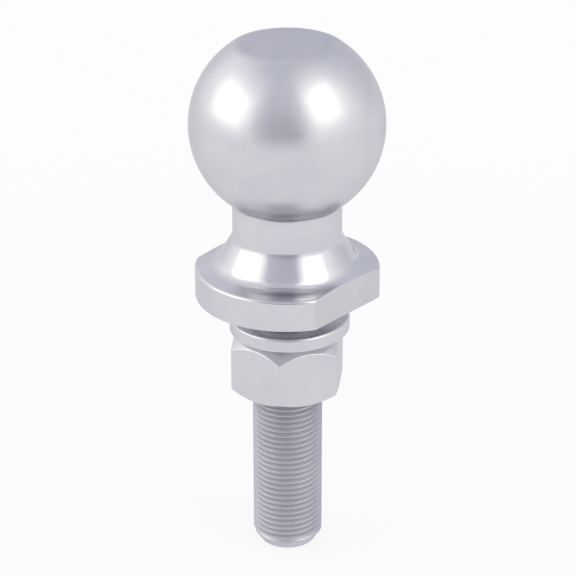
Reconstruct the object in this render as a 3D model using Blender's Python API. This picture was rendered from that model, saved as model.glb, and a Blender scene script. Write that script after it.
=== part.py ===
"""A threaded tow ball with its spring washer and hexagon nut.

The frame has its origin on the shank's axis, in the plane of the flange's seat. +Z points up
through the ball, and +X is square to one of the two wrench flats. All sizes are in metres.
Heights add up from the seat, so a change of one moves everything that stands on it.
"""
import math

import bmesh
import bpy
from mathutils import Vector

# Flange, from its seat upwards
FLANGE_DIAMETER = 0.0487
SEAT_CHAMFER = 0.0003
RIM_HEIGHT = 0.0088
RIM_ROUNDING = 0.0023
SHELF_WIDTH = 0.00565
SHELF_RISE = 0.0012
SHELF_FILLET = 0.0045
FLARE_RISE = 0.0069
FLARE_TOP_FILLET = 0.0045
WRENCH_FLAT_DEPTH = 0.00375

# Neck and ball
NECK_DIAMETER = 0.02875
NECK_LENGTH = 0.0088
NECK_TOP_FILLET = 0.0015
BALL_DIAMETER = 0.0508
TOP_FLAT_DEPTH = 0.00375
TOP_FLAT_ROUNDING = 0.0040

# Shank, drawn at the thread's outer diameter
SHANK_DIAMETER = 0.0188
SHANK_LENGTH = 0.0742
END_CHAMFER_DEPTH = 0.0020
END_CHAMFER_LENGTH = 0.0030

# Room between the seat and the washer, where the mounting plate is clamped
PLATE_GAP = 0.0055

# Split spring washer, sized outwards from the shank
WASHER_PLAY = 0.0009
WASHER_WIDTH = 0.0057
WASHER_THICKNESS = 0.0040
WASHER_RISE = 0.0014
WASHER_EDGE_ROUNDING = 0.0005
SPLIT_WIDTH = 0.0026
SPLIT_SLANT = math.radians(22.0)
SPLIT_HEADING = math.radians(220.5)
WASHER_SHIFT_HEADING = math.radians(130.5)

# Hexagon nut, sized outwards from the shank
NUT_WALL = 0.0043
NUT_THICKNESS = 0.01665
NUT_HEADING = math.radians(32.5)
NUT_COUNTERSINK = 0.0007
NUT_TOP_LAND = 0.0025
NUT_TOP_CHAMFER = math.radians(43.0)
NUT_BOTTOM_LAND = 0.0025
NUT_BOTTOM_CHAMFER = math.radians(34.0)
NUT_CORNER_ROUNDING = 0.0003

# Gap left between pieces that touch
CLEARANCE = 0.0003

# Fineness of the round forms
TURN_SEGMENTS = 72
BALL_ARC_STEPS = 18
MERGE_DISTANCE = 1e-6
SHARP_ANGLE = math.radians(25.0)


def clear_scene():
    for existing in list(bpy.data.objects):
        bpy.data.objects.remove(existing, do_unlink=True)


def plated_steel(name, colour, roughness):
    material = bpy.data.materials.new(name)
    material.use_nodes = True
    shader = material.node_tree.nodes["Principled BSDF"]
    shader.inputs["Base Color"].default_value = (*colour, 1.0)
    shader.inputs["Metallic"].default_value = 1.0
    shader.inputs["Roughness"].default_value = roughness
    material.diffuse_color = (*colour, 1.0)
    return material


def new_object(name, builder, material=None, location=(0.0, 0.0, 0.0)):
    bmesh.ops.recalc_face_normals(builder, faces=builder.faces)
    mesh = bpy.data.meshes.new(name)
    builder.to_mesh(mesh)
    builder.free()
    if material:
        mesh.materials.append(material)
        mesh.shade_smooth()
        mesh.set_sharp_from_angle(angle=SHARP_ANGLE)
    made = bpy.data.objects.new(name, mesh)
    made.location = location
    bpy.context.collection.objects.link(made)
    return made


def combine(target, tool, operation):
    """Cut the target with the tool, or keep what both share."""
    tool.hide_render = True
    tool.display_type = "WIRE"
    modifier = target.modifiers.new(operation.title(), "BOOLEAN")
    modifier.operation = operation
    modifier.solver = "EXACT"
    modifier.object = tool


def heading(angle):
    """The level direction at an angle measured from -Y towards +X."""
    return Vector((math.sin(angle), -math.cos(angle), 0.0))


def arc(centre, radius, start, end, steps):
    """Points (radius, height) along an arc, both ends included; angles run from outwards to up."""
    points = []
    for step in range(steps + 1):
        angle = start + (end - start) * step / steps
        points.append((centre[0] + radius * math.cos(angle), centre[1] + radius * math.sin(angle)))
    return points


def rounded_corner(before, corner, after, radius, steps):
    """The arc that rounds a corner. It takes at most half of each edge beside it."""
    corner = Vector(corner)
    back = Vector(before) - corner
    ahead = Vector(after) - corner
    half_angle = back.angle(ahead) / 2
    reach = min(radius / math.tan(half_angle), back.length / 2, ahead.length / 2)
    radius = reach * math.tan(half_angle)
    bisector = (back.normalized() + ahead.normalized()).normalized()
    centre = corner + bisector * (radius / math.sin(half_angle))
    first = corner + back.normalized() * reach - centre
    last = corner + ahead.normalized() * reach - centre
    start = math.atan2(first.y, first.x)
    sweep = math.remainder(math.atan2(last.y, last.x) - start, math.tau)
    return arc(centre, radius, start, start + sweep, steps)


def turned(profile, closed):
    """Spin a profile of (radius, height) points about Z. A closed profile makes a ring."""
    builder = bmesh.new()
    verts = [builder.verts.new((radius, 0.0, height)) for radius, height in profile]
    edges = [builder.edges.new(pair) for pair in zip(verts, verts[1:])]
    if closed:
        edges.append(builder.edges.new((verts[-1], verts[0])))
    bmesh.ops.spin(
        builder,
        geom=verts + edges,
        axis=(0.0, 0.0, 1.0),
        cent=(0.0, 0.0, 0.0),
        angle=math.tau,
        steps=TURN_SEGMENTS,
        use_merge=True,
    )
    bmesh.ops.remove_doubles(builder, verts=builder.verts, dist=MERGE_DISTANCE)
    return builder


def shelf_start():
    """Where the flare ends and the shelf that runs out to the rim begins."""
    return (FLANGE_DIAMETER / 2 - SHELF_WIDTH, RIM_HEIGHT + SHELF_RISE)


def flare_top():
    """The corner between the neck and the flare."""
    return (NECK_DIAMETER / 2, RIM_HEIGHT + SHELF_RISE + FLARE_RISE)


def ball_profile():
    """From the middle of the top flat, round the ball and its lower fillet, to the neck."""
    ball_radius = BALL_DIAMETER / 2
    neck_radius = NECK_DIAMETER / 2

    fillet_radius = neck_radius + NECK_TOP_FILLET
    fillet_drop = math.sqrt((ball_radius + NECK_TOP_FILLET) ** 2 - fillet_radius**2)
    neck_top_height = flare_top()[1] + NECK_LENGTH
    ball_height = neck_top_height + fillet_drop

    edge_height = ball_radius - TOP_FLAT_DEPTH - TOP_FLAT_ROUNDING
    edge_radius = math.sqrt((ball_radius - TOP_FLAT_ROUNDING) ** 2 - edge_height**2)
    ball_start = math.atan2(edge_height, edge_radius)
    ball_end = -math.atan2(fillet_drop, fillet_radius)

    edge_centre = (edge_radius, ball_height + edge_height)
    fillet_centre = (fillet_radius, neck_top_height)
    edge = arc(edge_centre, TOP_FLAT_ROUNDING, math.pi / 2, ball_start, 4)
    ball = arc((0.0, ball_height), ball_radius, ball_start, ball_end, BALL_ARC_STEPS)
    fillet = arc(fillet_centre, NECK_TOP_FILLET, math.pi + ball_end, math.pi, 3)
    return [(0.0, edge[0][1])] + edge + ball[1:] + fillet[1:]


def flange_profile(neck_top):
    """From the neck down the flare, over the shelf and the rim, to the seat."""
    rim_top = (FLANGE_DIAMETER / 2, RIM_HEIGHT)
    rim_foot = (FLANGE_DIAMETER / 2, 0.0)
    seat_edge = (SHANK_DIAMETER / 2, 0.0)
    return (
        rounded_corner(neck_top, flare_top(), shelf_start(), FLARE_TOP_FILLET, 4)
        + rounded_corner(flare_top(), shelf_start(), rim_top, SHELF_FILLET, 4)
        + rounded_corner(shelf_start(), rim_top, rim_foot, RIM_ROUNDING, 6)
        + rounded_corner(rim_top, rim_foot, seat_edge, SEAT_CHAMFER, 1)
    )


def shank_profile():
    """From the seat down the shank to the middle of its chamfered end."""
    radius = SHANK_DIAMETER / 2
    return [
        (radius, 0.0),
        (radius, END_CHAMFER_LENGTH - SHANK_LENGTH),
        (radius - END_CHAMFER_DEPTH, -SHANK_LENGTH),
        (0.0, -SHANK_LENGTH),
    ]


def wrench_flat_cutter(side):
    """A block that clears the flange outside one wrench flat and ends below the ball."""
    margin = 0.001
    flat = FLANGE_DIAMETER / 2 - WRENCH_FLAT_DEPTH
    top = (shelf_start()[1] + flare_top()[1]) / 2
    size = Vector((WRENCH_FLAT_DEPTH + margin, FLANGE_DIAMETER + 2 * margin, top + margin))
    builder = bmesh.new()
    bmesh.ops.create_cube(builder, size=1.0)
    bmesh.ops.scale(builder, vec=size, verts=builder.verts)
    middle = (side * (flat + size.x / 2), 0.0, top - size.z / 2)
    return new_object("wrench_flat_cutter", builder, location=middle)


def make_tow_ball():
    material = plated_steel("tow_ball", (0.60, 0.60, 0.65), 0.30)
    ball = ball_profile()
    profile = ball + flange_profile(ball[-1]) + shank_profile()
    made = new_object("tow_ball", turned(profile, closed=False), material)
    for side in (-1, 1):
        combine(made, wrench_flat_cutter(side), "DIFFERENCE")
    return made


def washer_section():
    """The washer's section as (radius, height) points, its foot at height 0."""
    inner = SHANK_DIAMETER / 2 + WASHER_PLAY
    outer = inner + WASHER_WIDTH
    corners = [(outer, WASHER_THICKNESS), (outer, 0.0), (inner, 0.0), (inner, WASHER_THICKNESS)]
    section = []
    for index, corner in enumerate(corners):
        before = corners[index - 1]
        after = corners[(index + 1) % len(corners)]
        section += rounded_corner(before, corner, after, WASHER_EDGE_ROUNDING, 2)
    return section


def make_lock_washer():
    """A helical ring, slit on a slant. It hangs off centre on the shank, against its play."""
    material = plated_steel("lock_washer", (0.58, 0.58, 0.62), 0.36)
    section = washer_section()
    middle_radius = SHANK_DIAMETER / 2 + WASHER_PLAY + WASHER_WIDTH / 2
    slit = SPLIT_WIDTH / middle_radius
    shift = (WASHER_PLAY - CLEARANCE) * heading(WASHER_SHIFT_HEADING)

    builder = bmesh.new()
    loops = []
    for step in range(TURN_SEGMENTS + 1):
        turn = step / TURN_SEGMENTS
        loop = []
        for radius, height in section:
            slant = (height - WASHER_THICKNESS / 2) * math.tan(SPLIT_SLANT) / middle_radius
            angle = SPLIT_HEADING + slit / 2 + (math.tau - slit) * turn + slant
            up = Vector((0.0, 0.0, height + WASHER_RISE * turn))
            loop.append(builder.verts.new(radius * heading(angle) + shift + up))
        loops.append(loop)
    for near, far in zip(loops, loops[1:]):
        for index in range(len(section)):
            following = (index + 1) % len(section)
            builder.faces.new((near[index], near[following], far[following], far[index]))
    builder.faces.new(loops[0])
    builder.faces.new(loops[-1])

    foot = -(PLATE_GAP + WASHER_RISE + WASHER_THICKNESS)
    return new_object("lock_washer", builder, material, (0.0, 0.0, foot))


def nut_corner_radius():
    across_flats = SHANK_DIAMETER + 2 * (CLEARANCE + NUT_WALL)
    return across_flats / 2 / math.cos(math.radians(30.0))


def nut_blank_profile():
    """The nut as turned: bored, countersunk and chamfered, before it is cut to a hexagon."""
    bore = SHANK_DIAMETER / 2 + CLEARANCE
    mouth = bore + NUT_COUNTERSINK
    outer = nut_corner_radius() + CLEARANCE
    top_land = mouth + NUT_TOP_LAND
    bottom_land = mouth + NUT_BOTTOM_LAND
    half = NUT_THICKNESS / 2
    return [
        (mouth, half),
        (top_land, half),
        (outer, half - (outer - top_land) * math.tan(NUT_TOP_CHAMFER)),
        (outer, (outer - bottom_land) * math.tan(NUT_BOTTOM_CHAMFER) - half),
        (bottom_land, -half),
        (mouth, -half),
        (bore, NUT_COUNTERSINK - half),
        (bore, half - NUT_COUNTERSINK),
    ]


def hexagon_bar(location):
    """The bar that the nut is cut from, with its six long edges eased."""
    builder = bmesh.new()
    bmesh.ops.create_cone(
        builder,
        cap_ends=True,
        segments=6,
        radius1=nut_corner_radius(),
        radius2=nut_corner_radius(),
        depth=2 * NUT_THICKNESS,
    )
    long_edges = [edge for edge in builder.edges if edge.calc_length() > 1.5 * NUT_THICKNESS]
    bmesh.ops.bevel(
        builder,
        geom=long_edges,
        offset=NUT_CORNER_ROUNDING,
        offset_type="OFFSET",
        segments=2,
        profile=0.5,
        affect="EDGES",
    )
    bar = new_object("hexagon_bar", builder, location=location)
    bar.rotation_euler.z = NUT_HEADING
    return bar


def make_hex_nut():
    material = plated_steel("hex_nut", (0.60, 0.61, 0.65), 0.32)
    top = -(PLATE_GAP + WASHER_RISE + WASHER_THICKNESS + CLEARANCE)
    middle = (0.0, 0.0, top - NUT_THICKNESS / 2)
    made = new_object("hex_nut", turned(nut_blank_profile(), closed=True), material, middle)
    combine(made, hexagon_bar(middle), "INTERSECT")
    return made


clear_scene()
make_tow_ball()
make_lock_washer()
make_hex_nut()
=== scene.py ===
"""The looks of the threaded tow ball, its spring washer and its nut.

Sizes are in metres, in the frame of the solids: the origin lies on the shank's axis in the plane
of the flange's seat, +Z points up through the ball and +X is square to a wrench flat.
"""

import math

import bmesh
import bpy
from mathutils import Matrix, Vector


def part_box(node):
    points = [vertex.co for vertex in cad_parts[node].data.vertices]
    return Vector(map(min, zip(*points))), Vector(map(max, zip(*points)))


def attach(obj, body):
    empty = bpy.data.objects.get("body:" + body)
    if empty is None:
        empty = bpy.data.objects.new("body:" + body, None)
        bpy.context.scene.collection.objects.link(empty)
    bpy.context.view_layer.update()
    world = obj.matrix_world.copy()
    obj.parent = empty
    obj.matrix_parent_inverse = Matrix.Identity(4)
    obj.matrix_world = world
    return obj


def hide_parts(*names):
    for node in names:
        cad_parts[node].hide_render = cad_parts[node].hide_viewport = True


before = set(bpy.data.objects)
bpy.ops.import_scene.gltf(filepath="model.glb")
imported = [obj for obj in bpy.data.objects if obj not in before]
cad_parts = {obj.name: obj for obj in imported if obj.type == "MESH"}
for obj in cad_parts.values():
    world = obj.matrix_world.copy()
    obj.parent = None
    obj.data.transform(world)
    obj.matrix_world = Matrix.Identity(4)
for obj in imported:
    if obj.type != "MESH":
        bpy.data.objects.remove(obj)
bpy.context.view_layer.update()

BALL_LOW, BALL_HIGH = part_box("tow_ball")
WASHER_LOW, WASHER_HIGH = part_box("lock_washer")
NUT_LOW, NUT_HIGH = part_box("hex_nut")

# Ball and neck
BALL_RADIUS = BALL_HIGH.x
TOP_CORE_RADIUS = 0.0008
TOP_FLAT_DEPTH = 0.00375
TOP_FLAT_ROUNDING = 0.0040
NECK_RADIUS = 0.014375
NECK_TOP_FILLET = 0.0018
BALL_HEIGHT = BALL_HIGH.z - BALL_RADIUS + TOP_FLAT_DEPTH

# Flange
FLANGE_RADIUS = 0.02435
SEAT_CHAMFER = 0.0003
RIM_HEIGHT = 0.0083
RIM_ROUNDING = 0.0009
SHELF_WIDTH = 0.00565
SHELF_RISE = 0.0011
SHELF_FILLET = 0.0042
FLARE_RISE = 0.0075
FLARE_TOP_FILLET = 0.0045
WRENCH_FLAT_DEPTH = 0.00375
WRENCH_FLAT = FLANGE_RADIUS - WRENCH_FLAT_DEPTH
WRENCH_FLAT_TOP = RIM_HEIGHT + SHELF_RISE + FLARE_RISE / 2
EDGE_SETBACK = 0.00016
EDGE_INSET = 0.00030
EDGE_STEPS = 6

# Shank and its thread
SHANK_RADIUS = 0.0094
SHANK_END = BALL_LOW.z
SHANK_OVERLAP = 0.0004
SHANK_FILLET = 0.0006
END_CHAMFER_DEPTH = 0.0020
END_CHAMFER_LENGTH = 0.0030
END_ROUNDING = 0.0003
PITCH = 0.0254 / 16
THREAD_DEPTH = 0.6134 * PITCH
CREST_SHARE = 1 / 20
CREST_ROUNDING = 0.00007
ROOT_ROUNDING = 0.00010
RUN_OUT_TOP = -0.0042
RUN_OUT_FOOT = -0.0062

# Spring washer
WASHER_FOOT = WASHER_LOW.z
WASHER_PLAY = 0.0009
WASHER_WIDTH = 0.0057
WASHER_INNER = SHANK_RADIUS + WASHER_PLAY
WASHER_OUTER = WASHER_INNER + WASHER_WIDTH
WASHER_THICKNESS = 0.0040
WASHER_RISE = WASHER_HIGH.z - WASHER_LOW.z - WASHER_THICKNESS
WASHER_TOP_ROUNDING = 0.0009
WASHER_ROUNDING = 0.0005
WASHER_SHIFT = 0.0006
WASHER_SHIFT_HEADING = math.radians(130.5)
SPLIT_WIDTH = 0.0026
SPLIT_SLANT = math.radians(22.0)
SPLIT_HEADING = math.radians(220.5)
SPLIT_EASING = 0.0003

# Nut
NUT_BOTTOM = NUT_LOW.z
NUT_TOP = NUT_HIGH.z
NUT_BORE_PLAY = 0.0003
NUT_WALL = 0.0043
NUT_APOTHEM = SHANK_RADIUS + NUT_BORE_PLAY + NUT_WALL
NUT_HEADING = math.radians(32.5)
NUT_CORNER_ROUNDING = 0.0004
NUT_EDGE_ROUNDING = 0.0004
NUT_LAND_ROUNDING = 0.00035
NUT_COUNTERSINK = 0.0010
NUT_LAND_WIDTH = 0.0025
NUT_MOUTH = SHANK_RADIUS + NUT_COUNTERSINK
NUT_LAND = NUT_MOUTH + NUT_LAND_WIDTH
NUT_MOUTH_EASING = 0.00025
NUT_TOP_CHAMFER = math.radians(43.0)
NUT_BOTTOM_CHAMFER = math.radians(34.0)
THREAD_PLAY = 0.00008
INNER_THREAD_DEPTH = 0.5413 * PITCH
INNER_CREST_SHARE = 1 / 4

# Fineness of the meshes
BALL_COLUMNS = 256
THREAD_COLUMNS = 112
WASHER_STEPS = 220
NUT_FLAT_STEPS = 28

# The photograph's camera
PHOTO_PIXELS = 576
FOCAL_PIXELS = 2269.212
SENSOR_WIDTH = 36.0
CAMERA_HEADING = math.radians(40.5)
CAMERA_ELEVATION = math.radians(24.86)
CAMERA_DISTANCE = 0.600
CAMERA_SHIFT_RIGHT = 0.000173
CAMERA_SHIFT_UP = 0.001194
CAMERA_ROLL = math.radians(-0.075)
CLIP_START = 0.01
CLIP_END = 20.0

# The floor, which is whiter beyond the object's shadow
FLOOR_GLOW = 0.98
FLOOR_GREY = 0.9
FLOOR_REACH = 4.0
FLOOR_STEPS = 12
FLOOR_GAP = 0.0005
SHADOW_REACH = 0.14
WHITE_REACH = 0.32
SHADOW_WHITENESS = 0.87

# The room's light by elevation, as stops (degrees, colour), and its darker part behind the camera
ROOM = [
    (-90.0, (0.98, 0.98, 0.98)),
    (-20.0, (0.92, 0.92, 0.94)),
    (6.0, (0.80, 0.80, 0.86)),
    (40.0, (0.76, 0.76, 0.84)),
    (70.0, (0.76, 0.76, 0.84)),
    (90.0, (0.68, 0.68, 0.76)),
]
SHADE_WIDTH = [(-46.0, 0.0), (-24.0, 0.26), (0.0, 0.44), (16.0, 0.34), (34.0, 0.0)]
SHADE_HEIGHT = [(-34.0, 0.0), (-14.0, 0.7), (4.0, 1.0), (20.0, 0.66), (40.0, 0.14), (64.0, 0.0)]

# The glow of each soft box, by azimuth and by elevation
LEFT_GLOW_WIDTH = [
    (-172.0, 0.0),
    (-140.0, 0.44),
    (-112.0, 0.85),
    (-88.0, 1.0),
    (-60.0, 1.0),
    (-48.0, 0.97),
    (-44.0, 0.85),
    (-41.0, 0.0),
    (-37.0, 0.0),
]
LEFT_GLOW_HEIGHT = [
    (-20.0, 0.0),
    (0.0, 0.62),
    (16.0, 0.98),
    (34.0, 1.0),
    (50.0, 0.62),
    (68.0, 0.0),
]
RIGHT_GLOW_WIDTH = [
    (16.0, 0.0),
    (20.0, 0.0),
    (24.0, 0.80),
    (28.0, 0.92),
    (46.0, 1.0),
    (70.0, 0.95),
    (92.0, 0.54),
    (112.0, 0.10),
    (132.0, 0.0),
]
RIGHT_GLOW_HEIGHT = [
    (-15.0, 0.0),
    (0.0, 0.48),
    (18.0, 0.98),
    (40.0, 1.0),
    (58.0, 0.72),
    (78.0, 0.0),
]
GLOW_STRENGTH = 0.64
BOX_STRENGTH = 0.70
BOX_TINT = (1.0, 0.985, 0.78)

# The soft boxes: name, azimuth, elevation, distance and size
SOFT_BOXES = [
    ("left_soft_box", math.radians(-80.0), math.radians(24.0), 1.0, (0.84, 0.60)),
    ("right_soft_box", math.radians(53.0), math.radians(36.0), 1.0, (0.66, 0.72)),
]

# The zinc plate: its colours, its noise in cells to a metre, and how far its marks are drawn out
BRIGHT_ZINC = (0.63, 0.632, 0.672)
TOP_ZINC = (0.60, 0.602, 0.646)
WRENCH_FLAT_ZINC = (0.60, 0.602, 0.632)
# The thread's zinc is darker and a little bluer than the bright zinc: painted shade for the shadow
# between the thread's turns.
THREAD_ZINC_WITH_PAINTED_SHADE = (0.56, 0.562, 0.612)
NUT_ZINC = (0.63, 0.636, 0.668)
SHEEN = (0.80, 0.80, 0.82)
DARKER = (0.95, 0.955, 0.975)
LIGHTER = (1.04, 1.035, 1.02)
CLOUD_SCALE = 90.0
MOTTLE_SCALE = 420.0
MARK_SCALE = 3400.0
GRAIN_SCALE = 2600.0
MARK_DRAW = 0.03
UPRIGHT_MARK_DRAW = 0.05
MOTTLE_SHARE = 0.75
GLOSS_SPREAD = 0.12
BUMP_DEPTH = 0.00001


def heading(angle):
    """The level direction at an angle measured from -Y towards +X."""
    return Vector((math.sin(angle), -math.cos(angle), 0.0))


def direction_at(angle, elevation):
    """The direction at a heading and an elevation above the level."""
    return heading(angle) * math.cos(elevation) + Vector((0.0, 0.0, math.sin(elevation)))


def arc(centre, radius, start, end, steps):
    """Points (radius, height) along an arc, both ends included."""
    points = []
    for step in range(steps + 1):
        angle = start + (end - start) * step / steps
        points.append((centre[0] + radius * math.cos(angle), centre[1] + radius * math.sin(angle)))
    return points


def line(start, end, steps):
    """Points from the start up to, but not including, the end."""
    points = []
    for step in range(steps):
        share = step / steps
        radius = start[0] + (end[0] - start[0]) * share
        height = start[1] + (end[1] - start[1]) * share
        points.append((radius, height))
    return points


def rounded_corner(before, corner, after, radius, steps):
    """The arc that rounds a corner. It takes at most half of each edge beside it."""
    corner = Vector(corner)
    back = Vector(before) - corner
    ahead = Vector(after) - corner
    half_angle = back.angle(ahead) / 2
    reach = min(radius / math.tan(half_angle), back.length / 2, ahead.length / 2)
    radius = reach * math.tan(half_angle)
    bisector = (back.normalized() + ahead.normalized()).normalized()
    centre = corner + bisector * (radius / math.sin(half_angle))
    first = corner + back.normalized() * reach - centre
    last = corner + ahead.normalized() * reach - centre
    start = math.atan2(first.y, first.x)
    sweep = math.remainder(math.atan2(last.y, last.x) - start, math.tau)
    return arc(centre, radius, start, start + sweep, steps)


def ring(builder, radius, height, columns):
    """A level ring of vertices about the axis."""
    verts = []
    for column in range(columns):
        angle = math.tau * column / columns
        place = (radius * math.cos(angle), radius * math.sin(angle), height)
        verts.append(builder.verts.new(place))
    return verts


def skin(builder, first, second, material_index=0):
    """Quads between two closed rings of as many vertices."""
    for index in range(len(first)):
        following = (index + 1) % len(first)
        corners = (first[index], first[following], second[following], second[index])
        builder.faces.new(corners).material_index = material_index


def cap(builder, loop, height, material_index=0):
    """Triangles from a ring to a point on the axis."""
    centre = builder.verts.new((0.0, 0.0, height))
    for index in range(len(loop)):
        face = builder.faces.new((loop[index], loop[(index + 1) % len(loop)], centre))
        face.material_index = material_index


def new_piece(name, builder, materials, body, node):
    """Turn the mesh into a smooth shaded piece that rides on a body and stands for a solid."""
    bmesh.ops.recalc_face_normals(builder, faces=builder.faces)
    mesh = bpy.data.meshes.new(name)
    builder.to_mesh(mesh)
    builder.free()
    for material in materials:
        mesh.materials.append(material)
    mesh.shade_smooth()
    piece = bpy.data.objects.new(name, mesh)
    bpy.context.collection.objects.link(piece)
    weighted = piece.modifiers.new("Weighted normals", "WEIGHTED_NORMAL")
    weighted.mode = "FACE_AREA"
    weighted.weight = 60
    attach(piece, body)
    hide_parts(node)
    return piece


def add_node(nodes, kind, **values):
    """A shader node with the given properties."""
    node = nodes.new(kind)
    for key, value in values.items():
        setattr(node, key, value)
    return node


def math_node(tree, operation, first, second=None):
    """One step of arithmetic on sockets or plain numbers."""
    node = add_node(tree.nodes, "ShaderNodeMath", operation=operation)
    for socket, value in zip(node.inputs, (first, second)):
        if isinstance(value, (int, float)):
            socket.default_value = value
        elif value is not None:
            tree.links.new(value, socket)
    return node.outputs["Value"]


def noise(tree, coordinates, scale, detail, stretch=(1.0, 1.0, 1.0)):
    """Noise over the object's own coordinates, with `scale` cells in a metre."""
    nodes, links = tree.nodes, tree.links
    mapping = add_node(nodes, "ShaderNodeMapping")
    mapping.inputs["Scale"].default_value = stretch
    links.new(coordinates, mapping.inputs["Vector"])
    texture = add_node(nodes, "ShaderNodeTexNoise")
    texture.inputs["Scale"].default_value = scale
    texture.inputs["Detail"].default_value = detail
    links.new(mapping.outputs["Vector"], texture.inputs["Vector"])
    return texture.outputs["Fac"]


def spread(tree, value, low, high):
    """Map a noise value, which keeps near one half, to a range."""
    node = add_node(tree.nodes, "ShaderNodeMapRange")
    node.inputs["From Min"].default_value = 0.3
    node.inputs["From Max"].default_value = 0.7
    node.inputs["To Min"].default_value = low
    node.inputs["To Max"].default_value = high
    tree.links.new(value, node.inputs["Value"])
    return node.outputs["Result"]


def mixed_colour(tree, factor, first, second):
    """A blend of two colours, the first where the factor is 0."""
    node = add_node(tree.nodes, "ShaderNodeMix", data_type="RGBA")
    node.inputs[6].default_value = (*first, 1.0)
    node.inputs[7].default_value = (*second, 1.0)
    tree.links.new(factor, node.inputs["Factor"])
    return node.outputs[2]


def bump(tree, height, strength, normal=None):
    """The normal of a fine relief, laid over another normal where one is given."""
    node = add_node(tree.nodes, "ShaderNodeBump")
    node.inputs["Strength"].default_value = strength
    node.inputs["Distance"].default_value = BUMP_DEPTH
    tree.links.new(height, node.inputs["Height"])
    if normal:
        tree.links.new(normal, node.inputs["Normal"])
    return node.outputs["Normal"]


def marks_along(tree, place, direction):
    """Coordinates for tool marks: round the axis, level across a flat, or along the axis."""
    parts = add_node(tree.nodes, "ShaderNodeSeparateXYZ")
    tree.links.new(place, parts.inputs["Vector"])
    across_x, across_y, height = parts.outputs
    level = add_node(tree.nodes, "ShaderNodeCombineXYZ")
    if direction == "round":
        square_x = math_node(tree, "MULTIPLY", across_x, across_x)
        square_y = math_node(tree, "MULTIPLY", across_y, across_y)
        radius = math_node(tree, "SQRT", math_node(tree, "ADD", square_x, square_y))
        tree.links.new(radius, level.inputs["X"])
        tree.links.new(math_node(tree, "MULTIPLY", across_x, MARK_DRAW), level.inputs["Y"])
        tree.links.new(height, level.inputs["Z"])
    else:
        if direction == "level":
            stretch_level, stretch_up = MARK_DRAW, 1.0
        else:
            stretch_level, stretch_up = 1.0, UPRIGHT_MARK_DRAW
        tree.links.new(math_node(tree, "MULTIPLY", across_x, stretch_level), level.inputs["X"])
        tree.links.new(math_node(tree, "MULTIPLY", across_y, stretch_level), level.inputs["Y"])
        tree.links.new(math_node(tree, "MULTIPLY", height, stretch_up), level.inputs["Z"])
    return level.outputs["Vector"]


def zinc_plate(name, colour, roughness, grain, marks, direction="round"):
    """Zinc plated steel: a cool grey metal whose tone, gloss and skin vary a little.

    The grain is the strength of the plating's fine skin, and the marks that of the tool's lines.
    """
    material = bpy.data.materials.new(name)
    material.use_nodes = True
    tree = material.node_tree
    shader = tree.nodes["Principled BSDF"]
    shader.inputs["Metallic"].default_value = 1.0
    shader.inputs["Specular Tint"].default_value = (*SHEEN, 1.0)
    place = add_node(tree.nodes, "ShaderNodeTexCoord").outputs["Object"]

    cloudy = noise(tree, place, CLOUD_SCALE, 3.0)
    darker = [share * level for share, level in zip(DARKER, colour)]
    lighter = [share * level for share, level in zip(LIGHTER, colour)]
    tone = mixed_colour(tree, spread(tree, cloudy, 0.0, 1.0), darker, lighter)
    tree.links.new(tone, shader.inputs["Base Color"])

    lines = noise(tree, marks_along(tree, place, direction), MARK_SCALE, 2.0)
    mottled = noise(tree, place, MOTTLE_SCALE, 4.0)
    gloss = math_node(
        tree, "ADD",
        math_node(tree, "MULTIPLY", mottled, MOTTLE_SHARE),
        math_node(tree, "MULTIPLY", lines, 1 - MOTTLE_SHARE),
    )
    smooth, rough = roughness * (1 - GLOSS_SPREAD), roughness * (1 + GLOSS_SPREAD)
    tree.links.new(spread(tree, gloss, smooth, rough), shader.inputs["Roughness"])

    ridges = bump(tree, lines, marks)
    fine = noise(tree, place, GRAIN_SCALE, 3.0)
    tree.links.new(bump(tree, fine, grain, ridges), shader.inputs["Normal"])
    return material


def ball_rows():
    """Rows (radius, height) from the middle of the top flat to the foot of the neck."""
    edge_height = BALL_RADIUS - TOP_FLAT_DEPTH - TOP_FLAT_ROUNDING
    edge_radius = math.sqrt((BALL_RADIUS - TOP_FLAT_ROUNDING) ** 2 - edge_height**2)
    start = math.atan2(edge_height, edge_radius)
    fillet_radius = NECK_RADIUS + NECK_TOP_FILLET
    fillet_drop = math.sqrt((BALL_RADIUS + NECK_TOP_FILLET) ** 2 - fillet_radius**2)
    end = -math.atan2(fillet_drop, fillet_radius)
    top = BALL_HEIGHT + BALL_RADIUS - TOP_FLAT_DEPTH
    neck_top = BALL_HEIGHT - fillet_drop

    flat = line((TOP_CORE_RADIUS, top), (edge_radius, top), 9)
    edge_centre = (edge_radius, BALL_HEIGHT + edge_height)
    edge = arc(edge_centre, TOP_FLAT_ROUNDING, math.pi / 2, start, 14)
    ball = arc((0.0, BALL_HEIGHT), BALL_RADIUS, start, end, 88)
    fillet = arc((fillet_radius, neck_top), NECK_TOP_FILLET, math.pi + end, math.pi, 8)
    return flat, edge + ball[1:], fillet[1:]


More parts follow.
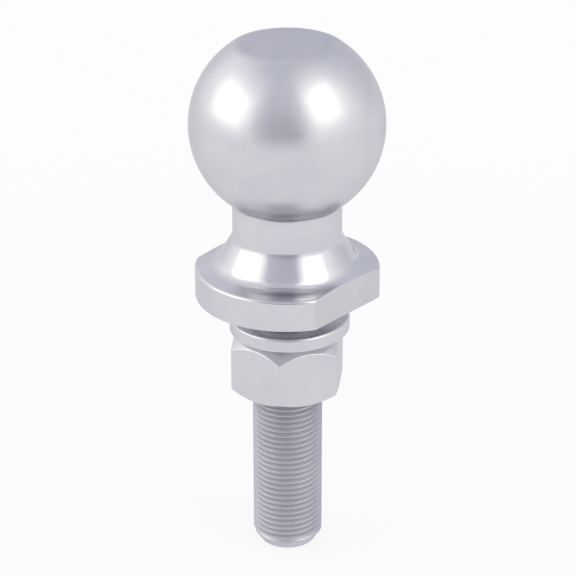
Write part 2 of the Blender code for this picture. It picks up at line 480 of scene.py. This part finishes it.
def flange_rows(neck_top):
    """Rows from the neck down the flare, the shelf and the rim to the seat."""
    flare_top = (NECK_RADIUS, RIM_HEIGHT + SHELF_RISE + FLARE_RISE)
    shelf_start = (FLANGE_RADIUS - SHELF_WIDTH, RIM_HEIGHT + SHELF_RISE)
    rim_top = (FLANGE_RADIUS, RIM_HEIGHT)
    rim_foot = (FLANGE_RADIUS, 0.0)
    seat_edge = (SHANK_RADIUS, 0.0)
    upper = rounded_corner(neck_top, flare_top, shelf_start, FLARE_TOP_FILLET, 14)
    lower = rounded_corner(flare_top, shelf_start, rim_top, SHELF_FILLET, 14)
    rim = rounded_corner(shelf_start, rim_top, rim_foot, RIM_ROUNDING, 16)
    foot = rounded_corner(rim_top, rim_foot, seat_edge, SEAT_CHAMFER, 3)
    neck = line(neck_top, upper[0], 6)[1:]
    flare = upper + line(upper[-1], lower[0], 5)[1:] + lower
    shelf = line(lower[-1], rim[0], 6)[1:]
    wall = line(rim[-1], foot[0], 8)[1:]
    seat = line(foot[-1], seat_edge, 8)[1:]
    return neck + flare, shelf + rim, wall + foot, seat


def ordered_loop(corners):
    """The vertices of a cut, put in order round its open edge."""
    left = set(corners)
    loop = [corners[0]]
    left.remove(corners[0])
    while left:
        for edge in loop[-1].link_edges:
            other = edge.other_vert(loop[-1])
            if other in left and len(edge.link_faces) == 1:
                loop.append(other)
                left.remove(other)
                break
        else:
            raise RuntimeError("the cut's edge is not one closed loop")
    return loop


def cut_wrench_flat(builder, side, material_index):
    """Cut one wrench flat, and join it to the flange by a small rounded edge."""
    across = Vector((side, 0.0, 0.0))
    below = [vert for vert in builder.verts if vert.co.z < WRENCH_FLAT_TOP]
    edges = {edge for vert in below for edge in vert.link_edges}
    faces = {face for vert in below for face in vert.link_faces}
    cut = bmesh.ops.bisect_plane(
        builder,
        geom=below + list(edges) + list(faces),
        dist=1e-7,
        plane_co=across * (WRENCH_FLAT - EDGE_SETBACK),
        plane_no=across,
        clear_outer=True,
    )
    builder.normal_update()
    corners = [item for item in cut["geom_cut"] if isinstance(item, bmesh.types.BMVert)]
    loop = ordered_loop(corners)
    half_width = math.sqrt(FLANGE_RADIUS**2 - WRENCH_FLAT**2) - EDGE_INSET

    curves = []
    for vert in loop:
        normal = vert.normal
        along = (across - normal * normal.dot(across)).normalized()
        edge_point = vert.co + along * (EDGE_SETBACK / max(along.dot(across), 0.3))
        inwards = -Vector((0.0, normal.y, normal.z)).normalized()
        inner = edge_point + inwards * EDGE_INSET
        inner.x = side * WRENCH_FLAT
        inner.y = max(-half_width, min(half_width, inner.y))
        inner.z = max(EDGE_INSET, inner.z)
        curves.append((vert.co.copy(), edge_point, inner))

    for step in range(1, EDGE_STEPS + 1):
        share = step / EDGE_STEPS
        following = []
        for start, middle, end in curves:
            place = start * (1 - share) ** 2 + middle * 2 * share * (1 - share) + end * share**2
            following.append(builder.verts.new(place))
        skin(builder, loop, following, material_index)
        loop = following
    face = builder.faces.new(loop)
    face.material_index = material_index


def make_ball(materials):
    """The ball, neck and flange. Each stretch of the section has its own finish."""
    builder = bmesh.new()
    flat, ball, fillet = ball_rows()
    flare, shelf, wall, seat = flange_rows(fillet[-1])
    stretches = [flat, ball + fillet, flare, shelf, wall, seat]
    finishes = ["top", "ball", "flare", "flare", "rim", "seat"]
    names = list(materials)
    rings = []
    for stretch, finish in zip(stretches, finishes):
        for radius, height in stretch:
            rings.append((ring(builder, radius, height, BALL_COLUMNS), names.index(finish)))
    rings.append((ring(builder, SHANK_RADIUS, 0.0, BALL_COLUMNS), names.index("seat")))
    cap(builder, rings[0][0], flat[0][1], names.index("top"))
    for (upper, index), (lower, _) in zip(rings, rings[1:]):
        skin(builder, upper, lower, index)
    cap(builder, rings[-1][0], 0.0, names.index("seat"))
    bmesh.ops.recalc_face_normals(builder, faces=builder.faces)
    for side in (-1, 1):
        cut_wrench_flat(builder, side, names.index("wrench_flat"))
    bmesh.ops.remove_doubles(builder, verts=builder.verts, dist=1e-8)
    new_piece("ball_and_flange", builder, materials.values(), "tow_ball", "tow_ball")


def thread_section(crest, root, crest_share):
    """One pitch of a 60 degree thread as (share of the pitch, radius), crest first."""
    slope = math.tan(math.radians(30.0))
    half_crest = crest_share * PITCH / 2
    half_root = (PITCH - 2 * half_crest - 2 * abs(crest - root) * slope) / 2
    corners = [
        (-half_crest, crest),
        (half_crest, crest),
        (PITCH / 2 - half_root, root),
        (PITCH / 2 + half_root, root),
        (PITCH - half_crest, crest),
        (PITCH + half_crest, crest),
    ]
    rounding = [0.0, CREST_ROUNDING, ROOT_ROUNDING, ROOT_ROUNDING, CREST_ROUNDING]
    section = []
    for index in range(1, 5):
        corner = rounded_corner(
            corners[index - 1], corners[index], corners[index + 1], rounding[index], 2
        )
        section += [(along / PITCH, radius) for along, radius in corner]
    return section


def threaded_band(builder, low_ring, high_ring, section, radius_at):
    """A band of right-hand thread. Its rows follow the helix and end on two level rings."""
    columns = len(low_ring)
    low = low_ring[0].co.z
    high = high_ring[0].co.z
    made = {}

    def corner(column, row):
        if column == columns:
            return corner(0, row + len(section))
        turn, index = divmod(row, len(section))
        share, radius = section[index]
        height = PITCH * (turn + share + column / columns)
        if height <= low:
            return low_ring[column]
        if height >= high:
            return high_ring[column]
        if (column, row) not in made:
            reach = radius_at(height, radius)
            angle = math.tau * column / columns
            place = (reach * math.cos(angle), reach * math.sin(angle), height)
            made[column, row] = builder.verts.new(place)
        return made[column, row]

    first = len(section) * (math.floor(low / PITCH) - 2)
    last = len(section) * (math.ceil(high / PITCH) + 1)
    for row in range(first, last):
        for column in range(columns):
            square = (
                corner(column, row),
                corner(column + 1, row),
                corner(column + 1, row + 1),
                corner(column, row + 1),
            )
            corners = list(dict.fromkeys(square))
            if len(corners) > 2:
                builder.faces.new(corners)


def smooth_step(value, low, high):
    """0 below the low limit, 1 above the high one, and a smooth rise between."""
    share = max(0.0, min(1.0, (value - low) / (high - low)))
    return share * share * (3 - 2 * share)


def make_shank(material):
    """The shank: a plain top, the thread with its run-out, and the chamfered end."""
    builder = bmesh.new()

    def radius_at(height, radius):
        """The thread's radius, less deep at the run-out and cut by the end chamfer."""
        kept = 1.0 - smooth_step(height, RUN_OUT_FOOT, RUN_OUT_TOP)
        radius = SHANK_RADIUS - (SHANK_RADIUS - radius) * kept
        rise = height - SHANK_END
        cone = SHANK_RADIUS - END_CHAMFER_DEPTH * (1 - rise / END_CHAMFER_LENGTH)
        return min(radius, cone)

    cone_foot = (SHANK_RADIUS - END_CHAMFER_DEPTH, SHANK_END)
    cone_top = (SHANK_RADIUS, SHANK_END + END_CHAMFER_LENGTH)
    end = rounded_corner((0.0, SHANK_END), cone_foot, cone_top, END_ROUNDING, 4)
    rings = [ring(builder, radius, height, THREAD_COLUMNS) for radius, height in end]
    inner = ring(builder, SHANK_RADIUS / 3, SHANK_END, THREAD_COLUMNS)
    cap(builder, inner, SHANK_END)
    rings.insert(0, inner)
    for lower, upper in zip(rings, rings[1:]):
        skin(builder, lower, upper)

    top = [(SHANK_RADIUS, RUN_OUT_TOP), (SHANK_RADIUS, -SHANK_FILLET)]
    fillet_centre = (SHANK_RADIUS + SHANK_FILLET, -SHANK_FILLET)
    top += arc(fillet_centre, SHANK_FILLET, math.pi, math.pi / 2, 5)[1:]
    top.append((SHANK_RADIUS + SHANK_FILLET, SHANK_OVERLAP))
    upper_rings = [ring(builder, radius, height, THREAD_COLUMNS) for radius, height in top]
    for lower, upper in zip(upper_rings, upper_rings[1:]):
        skin(builder, lower, upper)
    cap(builder, upper_rings[-1], SHANK_OVERLAP)

    section = thread_section(SHANK_RADIUS, SHANK_RADIUS - THREAD_DEPTH, CREST_SHARE)
    threaded_band(builder, rings[-1], upper_rings[0], section, radius_at)
    new_piece("threaded_shank", builder, [material], "tow_ball", "tow_ball")


def washer_section():
    """The washer's section as (radius, height) points, its foot at height 0."""
    corners = [
        (WASHER_OUTER, WASHER_THICKNESS),
        (WASHER_OUTER, 0.0),
        (WASHER_INNER, 0.0),
        (WASHER_INNER, WASHER_THICKNESS),
    ]
    rounded = []
    for index, corner in enumerate(corners):
        before = corners[index - 1]
        after = corners[(index + 1) % len(corners)]
        rounding = WASHER_TOP_ROUNDING if index == 0 else WASHER_ROUNDING
        rounded.append(rounded_corner(before, corner, after, rounding, 6))
    section = []
    for index, corner in enumerate(rounded):
        following = rounded[(index + 1) % len(rounded)]
        section += corner + line(corner[-1], following[0], 4)[1:]
    return section


def make_washer(material):
    """A helical ring with a slanted slit, whose two ends are eased."""
    builder = bmesh.new()
    section = washer_section()
    middle_radius = (WASHER_INNER + WASHER_OUTER) / 2
    middle = Vector((middle_radius, WASHER_THICKNESS / 2))
    slit = SPLIT_WIDTH / middle_radius
    shift = WASHER_SHIFT * heading(WASHER_SHIFT_HEADING)
    eased_turns = [0.0, 0.25, 0.55, 1.0]

    # Each loop is a share of the turn and how far its section is drawn in at the slit.
    stations = []
    for step in eased_turns[:-1]:
        drawn_in = SPLIT_EASING * (1 - math.sqrt(1 - (1 - step) ** 2))
        stations.append((step * SPLIT_EASING / (math.tau * middle_radius), drawn_in))
    mirrored = [(1.0 - turn, drawn_in) for turn, drawn_in in reversed(stations)]
    first = SPLIT_EASING / (math.tau * middle_radius)
    for step in range(WASHER_STEPS + 1):
        stations.append((first + (1 - 2 * first) * step / WASHER_STEPS, 0.0))
    stations += mirrored

    loops = []
    for turn, drawn_in in stations:
        loop = []
        for point in section:
            place = Vector(point)
            inwards = (middle - place).normalized() * drawn_in
            radius, height = place + inwards
            slant = (height - WASHER_THICKNESS / 2) * math.tan(SPLIT_SLANT) / middle_radius
            angle = SPLIT_HEADING + slit / 2 + (math.tau - slit) * turn + slant
            up = Vector((0.0, 0.0, WASHER_FOOT + height + WASHER_RISE * turn))
            loop.append(builder.verts.new(radius * heading(angle) + shift + up))
        loops.append(loop)
    for near, far in zip(loops, loops[1:]):
        skin(builder, near, far)
    builder.faces.new(loops[0])
    builder.faces.new(loops[-1])
    new_piece("spring_washer", builder, [material], "lock_washer", "lock_washer")


def hexagon_outline():
    """Points (x, y) round the hexagon, denser on its rounded corners."""
    corner_radius = NUT_APOTHEM / math.cos(math.radians(30.0))
    corners = []
    for index in range(6):
        angle = NUT_HEADING + math.radians(60.0 * index)
        corners.append(corner_radius * heading(angle).to_2d())
    rounded = []
    for index, corner in enumerate(corners):
        before = corners[index - 1]
        after = corners[(index + 1) % 6]
        rounded.append(rounded_corner(before, corner, after, NUT_CORNER_ROUNDING, 6))
    outline = []
    for index, corner in enumerate(rounded):
        following = rounded[(index + 1) % 6]
        outline += corner + line(corner[-1], following[0], NUT_FLAT_STEPS)[1:]
    return [Vector(point) for point in outline]


def nut_column(reach):
    """Rows (radius, height) from the top mouth over the wall to the bottom mouth."""
    top_drop = (reach - NUT_LAND) * math.tan(NUT_TOP_CHAMFER)
    bottom_rise = (reach - NUT_LAND) * math.tan(NUT_BOTTOM_CHAMFER)
    corners = [
        (NUT_MOUTH, NUT_TOP),
        (NUT_LAND, NUT_TOP),
        (reach, NUT_TOP - top_drop),
        (reach, NUT_BOTTOM + bottom_rise),
        (NUT_LAND, NUT_BOTTOM),
        (NUT_MOUTH, NUT_BOTTOM),
    ]
    rows = line(corners[0], corners[1], 4)[:-1]
    for index in range(1, 5):
        rounding = NUT_EDGE_ROUNDING if index in (2, 3) else NUT_LAND_ROUNDING
        corner = rounded_corner(
            corners[index - 1], corners[index], corners[index + 1], rounding, 6
        )
        if index > 1:
            rows += line(rows[-1], corner[0], 4)[1:]
        rows += corner
    rows += line(rows[-1], corners[5], 4)[1:]
    return rows


def make_nut(material):
    """The nut: a hexagon with turned chamfers at both ends, and its thread inside."""
    builder = bmesh.new()
    outline = hexagon_outline()
    columns = []
    for point in outline:
        direction = point.normalized()
        verts = []
        for radius, height in nut_column(point.length):
            verts.append(builder.verts.new((direction.x * radius, direction.y * radius, height)))
        columns.append(verts)
    for index, near in enumerate(columns):
        far = columns[(index + 1) % len(columns)]
        for row in range(len(near) - 1):
            builder.faces.new((near[row], far[row], far[row + 1], near[row + 1]))

    thread_inner = SHANK_RADIUS - INNER_THREAD_DEPTH + THREAD_PLAY
    thread_outer = SHANK_RADIUS + THREAD_PLAY
    eased_radius = NUT_MOUTH - NUT_MOUTH_EASING
    low = [(NUT_MOUTH, NUT_BOTTOM), (eased_radius, NUT_BOTTOM + NUT_MOUTH_EASING)]
    high = [(eased_radius, NUT_TOP - NUT_MOUTH_EASING), (NUT_MOUTH, NUT_TOP)]
    low_rings = [ring(builder, radius, height, THREAD_COLUMNS) for radius, height in low]
    high_rings = [ring(builder, radius, height, THREAD_COLUMNS) for radius, height in high]
    skin(builder, low_rings[0], low_rings[1])
    skin(builder, high_rings[0], high_rings[1])

    def radius_at(height, radius):
        """The inner thread's radius, opened by the countersink at each end."""
        near_end = min(height - NUT_BOTTOM, NUT_TOP - height)
        return max(radius, NUT_MOUTH - near_end)

    section = thread_section(thread_inner, thread_outer, INNER_CREST_SHARE)
    shifted = sorted(((share + 0.5) % 1.0, radius) for share, radius in section)
    threaded_band(builder, low_rings[1], high_rings[0], shifted, radius_at)

    for column, loop in ((0, high_rings[1]), (-1, low_rings[0])):
        outer = [verts[column] for verts in columns]
        edges = []
        for verts in (loop, outer):
            for vert, following in zip(verts, verts[1:] + verts[:1]):
                edges.append(builder.edges.get((vert, following)))
        bmesh.ops.bridge_loops(builder, edges=edges)
    new_piece("hexagon_nut", builder, [material], "hex_nut", "hex_nut")


def make_camera():
    """The photograph's camera, as solved from the object's outlines."""
    camera = bpy.data.objects.new("photo_camera", bpy.data.cameras.new("photo_camera"))
    bpy.context.collection.objects.link(camera)
    camera.data.sensor_fit = "HORIZONTAL"
    camera.data.sensor_width = SENSOR_WIDTH
    camera.data.lens = FOCAL_PIXELS * SENSOR_WIDTH / PHOTO_PIXELS
    camera.data.clip_start = CLIP_START
    camera.data.clip_end = CLIP_END
    back = direction_at(CAMERA_HEADING, CAMERA_ELEVATION)
    right = Vector((0.0, 0.0, 1.0)).cross(back).normalized()
    up = back.cross(right)
    turned_right = right * math.cos(CAMERA_ROLL) + up * math.sin(CAMERA_ROLL)
    turned_up = up * math.cos(CAMERA_ROLL) - right * math.sin(CAMERA_ROLL)
    turn = Matrix((turned_right, turned_up, back)).transposed()
    raised = Vector((0.0, 0.0, CAMERA_SHIFT_UP))
    place = back * CAMERA_DISTANCE + right * CAMERA_SHIFT_RIGHT + raised
    camera.matrix_world = Matrix.Translation(place) @ turn.to_4x4()
    bpy.context.scene.camera = camera


def background_rays(tree):
    """1 for a ray from the camera or by way of a reflection or a clear body, 0 for the rest."""
    path = add_node(tree.nodes, "ShaderNodeLightPath")
    total = path.outputs["Is Camera Ray"]
    for name in ("Is Glossy Ray", "Is Transmission Ray"):
        total = math_node(tree, "MAXIMUM", total, path.outputs[name])
    return total


def floor_sheet():
    """A level sheet under the object, square to the camera."""
    front = heading(CAMERA_HEADING)
    side = heading(CAMERA_HEADING + math.pi / 2)
    builder = bmesh.new()
    rows = []
    for step in range(FLOOR_STEPS + 1):
        along = FLOOR_REACH * (1 - 2 * step / FLOOR_STEPS)
        row = []
        for column in range(FLOOR_STEPS + 1):
            across = FLOOR_REACH * (2 * column / FLOOR_STEPS - 1)
            row.append(builder.verts.new(front * along + side * across))
        rows.append(row)
    for near, far in zip(rows, rows[1:]):
        for column in range(FLOOR_STEPS):
            builder.faces.new((near[column], near[column + 1], far[column + 1], far[column]))
    mesh = bpy.data.meshes.new("floor")
    builder.to_mesh(mesh)
    builder.free()
    floor = bpy.data.objects.new("floor", mesh)
    floor.location.z = SHANK_END - FLOOR_GAP
    bpy.context.collection.objects.link(floor)
    return floor


def make_floor():
    """The floor shows white, and keeps the object's faint shadow close to it."""
    floor = floor_sheet()
    material = bpy.data.materials.new("floor_white")
    material.use_nodes = True
    tree = material.node_tree
    tree.nodes.remove(tree.nodes["Principled BSDF"])
    cloth = add_node(tree.nodes, "ShaderNodeBsdfDiffuse")
    cloth.inputs["Color"].default_value = (FLOOR_GREY, FLOOR_GREY, FLOOR_GREY, 1.0)
    glow = add_node(tree.nodes, "ShaderNodeEmission")
    glow.inputs["Color"].default_value = (1.0, 1.0, 1.0, 1.0)
    glow.inputs["Strength"].default_value = FLOOR_GLOW
    place = add_node(tree.nodes, "ShaderNodeTexCoord").outputs["Object"]
    distance = add_node(tree.nodes, "ShaderNodeVectorMath", operation="LENGTH")
    tree.links.new(place, distance.inputs[0])
    whiteness = add_node(tree.nodes, "ShaderNodeMapRange", interpolation_type="SMOOTHSTEP")
    whiteness.inputs["From Min"].default_value = SHADOW_REACH
    whiteness.inputs["From Max"].default_value = WHITE_REACH
    whiteness.inputs["To Min"].default_value = SHADOW_WHITENESS
    whiteness.inputs["To Max"].default_value = 1.0
    tree.links.new(distance.outputs["Value"], whiteness.inputs["Value"])
    share = math_node(tree, "MULTIPLY", background_rays(tree), whiteness.outputs["Result"])
    blend = add_node(tree.nodes, "ShaderNodeMixShader")
    tree.links.new(share, blend.inputs["Fac"])
    tree.links.new(cloth.outputs["BSDF"], blend.inputs[1])
    tree.links.new(glow.outputs["Emission"], blend.inputs[2])
    tree.links.new(blend.outputs["Shader"], tree.nodes["Material Output"].inputs["Surface"])
    floor.data.materials.append(material)


def smooth_ramp(tree, value, low, high, stops):
    """A colour or level that follows smooth stops (value, colour or level) between two limits."""
    share = add_node(tree.nodes, "ShaderNodeMapRange")
    share.inputs["From Min"].default_value = low
    share.inputs["From Max"].default_value = high
    tree.links.new(value, share.inputs["Value"])
    ramp = add_node(tree.nodes, "ShaderNodeValToRGB")
    ramp.color_ramp.interpolation = "B_SPLINE"
    points = ramp.color_ramp.elements
    while len(points) > 1:
        points.remove(points[-1])
    for index, (at, level) in enumerate(stops):
        point = points[0] if index == 0 else points.new((at - low) / (high - low))
        point.position = (at - low) / (high - low)
        colour = level if isinstance(level, tuple) else (level, level, level)
        point.color = (*colour, 1.0)
    tree.links.new(share.outputs["Result"], ramp.inputs["Fac"])
    return ramp.outputs["Color"]


def make_world():
    """A pale studio, darker behind the camera, with the glow round its two soft boxes.

    Azimuths run rightwards from the camera's side, elevations up from the horizon.
    """
    world = bpy.data.worlds.new("studio")
    world.use_nodes = True
    bpy.context.scene.world = world
    tree = world.node_tree
    direction = add_node(tree.nodes, "ShaderNodeTexCoord").outputs["Generated"]
    turned = add_node(tree.nodes, "ShaderNodeVectorRotate", rotation_type="Z_AXIS")
    turned.inputs["Angle"].default_value = -CAMERA_HEADING
    tree.links.new(direction, turned.inputs["Vector"])
    parts = add_node(tree.nodes, "ShaderNodeSeparateXYZ")
    tree.links.new(turned.outputs["Vector"], parts.inputs["Vector"])
    towards_camera = math_node(tree, "MULTIPLY", parts.outputs["Y"], -1.0)
    azimuth = math_node(tree, "ARCTAN2", parts.outputs["X"], towards_camera)
    azimuth = math_node(tree, "DEGREES", azimuth)
    elevation = math_node(tree, "DEGREES", math_node(tree, "ARCSINE", parts.outputs["Z"]))

    def patch(width, height):
        """A soft patch of the sky, as the product of a level by azimuth and one by elevation."""
        across = smooth_ramp(tree, azimuth, -180.0, 180.0, width)
        upwards = smooth_ramp(tree, elevation, -90.0, 90.0, height)
        return math_node(tree, "MULTIPLY", across, upwards)

    left = patch(LEFT_GLOW_WIDTH, LEFT_GLOW_HEIGHT)
    right = patch(RIGHT_GLOW_WIDTH, RIGHT_GLOW_HEIGHT)
    glow = math_node(tree, "MULTIPLY", math_node(tree, "ADD", left, right), GLOW_STRENGTH)
    lit = add_node(tree.nodes, "ShaderNodeVectorMath", operation="MULTIPLY_ADD")
    tree.links.new(glow, lit.inputs[0])
    lit.inputs[1].default_value = BOX_TINT
    tree.links.new(smooth_ramp(tree, elevation, -90.0, 90.0, ROOM), lit.inputs[2])
    room = add_node(tree.nodes, "ShaderNodeVectorMath", operation="SUBTRACT")
    tree.links.new(lit.outputs["Vector"], room.inputs[0])
    tree.links.new(patch(SHADE_WIDTH, SHADE_HEIGHT), room.inputs[1])

    background = tree.nodes["Background"]
    background.inputs["Strength"].default_value = 1.0
    tree.links.new(room.outputs["Vector"], background.inputs["Color"])


def soft_box(name, azimuth, elevation, distance, size):
    """A rectangular lamp that faces the ball, its azimuth measured rightwards from the camera."""
    data = bpy.data.lights.new(name, "AREA")
    data.shape = "RECTANGLE"
    data.size = size[0]
    data.size_y = size[1]
    data.energy = BOX_STRENGTH * math.pi * size[0] * size[1]
    data.color = BOX_TINT
    lamp = bpy.data.objects.new(name, data)
    bpy.context.collection.objects.link(lamp)
    out = direction_at(CAMERA_HEADING + azimuth, elevation)
    lamp.location = Vector((0.0, 0.0, BALL_HEIGHT)) + out * distance
    lamp.rotation_mode = "QUATERNION"
    lamp.rotation_quaternion = out.to_track_quat("Z", "Y")
    lamp.visible_camera = False


def make_studio():
    """The camera, the white floor and the light."""
    make_camera()
    make_floor()
    make_world()
    for name, azimuth, elevation, distance, size in SOFT_BOXES:
        soft_box(name, azimuth, elevation, distance, size)


def main():
    """Build the four pieces, each with its finishes, and the studio round them."""
    bpy.context.scene.view_settings.view_transform = "Standard"
    finishes = {
        "top": zinc_plate("zinc_top_flat", TOP_ZINC, roughness=0.36, grain=0.14, marks=0.40),
        "ball": zinc_plate("zinc_ball", BRIGHT_ZINC, roughness=0.30, grain=0.05, marks=0.03),
        "flare": zinc_plate("zinc_flare", BRIGHT_ZINC, roughness=0.18, grain=0.03, marks=0.05),
        "rim": zinc_plate("zinc_rim", BRIGHT_ZINC, roughness=0.24, grain=0.05, marks=0.10),
        "wrench_flat": zinc_plate(
            "zinc_wrench_flat",
            WRENCH_FLAT_ZINC,
            roughness=0.34,
            grain=0.07,
            marks=0.16,
            direction="level",
        ),
        "seat": zinc_plate("zinc_seat", BRIGHT_ZINC, roughness=0.30, grain=0.10, marks=0.30),
    }
    make_ball(finishes)
    # The thread's darker colour is painted shade between its turns, not a different plating.
    make_shank(zinc_plate("zinc_thread_painted_shade", THREAD_ZINC_WITH_PAINTED_SHADE, roughness=0.44, grain=0.04, marks=0.04))
    make_washer(zinc_plate("zinc_washer", BRIGHT_ZINC, roughness=0.28, grain=0.02, marks=0.04))
    nut_plate = zinc_plate(
        "zinc_nut", NUT_ZINC, roughness=0.30, grain=0.03, marks=0.07, direction="upright"
    )
    make_nut(nut_plate)
    make_studio()


main()
